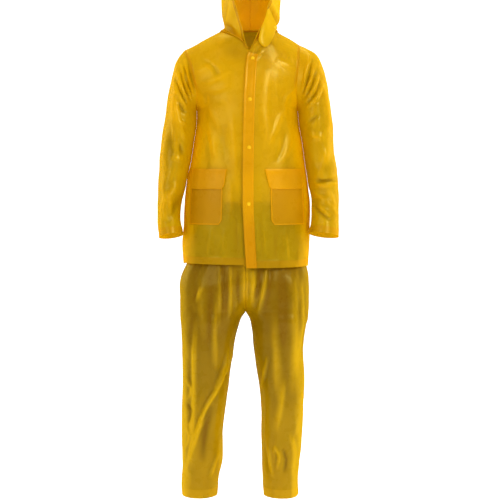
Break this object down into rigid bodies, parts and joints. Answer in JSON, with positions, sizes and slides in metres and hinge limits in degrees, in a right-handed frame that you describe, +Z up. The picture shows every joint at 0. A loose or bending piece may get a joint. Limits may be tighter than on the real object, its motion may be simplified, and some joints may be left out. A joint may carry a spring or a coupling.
{
  "type": "rain suit",
  "caption": "Translucent yellow PVC rain suit as worn: hooded snap-front jacket with patch pockets, over plain pull-on trousers.",
  "frame": {"origin": "middle of the neck's base, on the line of the wearer's shoulders, where the jacket hangs", "axes": "+Z up, -Y the way the suit faces, +X the wearer's left"},
  "size_m": [0.5836, 0.2642, 1.8026],
  "materials": {
    "film": "glossy translucent PVC film, amber yellow, one layer",
    "film_doubled": "the same film where it lies in two or three layers, more orange",
    "film_trousers": "glossy translucent PVC film, darker mustard",
    "snap": "moulded yellow plastic snap cap"
  },
  "bodies": {
    "root": {"chin_flap": "film_doubled", "chin_snap": "snap", "hood_left": "film", "hood_right": "film", "jacket_back": "film", "jacket_front_left": "film", "jacket_front_right": "film", "placket": "film_doubled", "placket_snap_1": "snap", "placket_snap_2": "snap", "placket_snap_3": "snap", "placket_snap_4": "snap", "pocket_flap_left": "film_doubled", "pocket_flap_right": "film_doubled", "pocket_left": "film_doubled", "pocket_right": "film_doubled", "sleeve_left": "film", "sleeve_right": "film", "trouser_back_left": "film_trousers", "trouser_back_right": "film_trousers", "trouser_front_left": "film_trousers", "trouser_front_right": "film_trousers", "waistband": "film_trousers"}
  },
  "joints": []
}
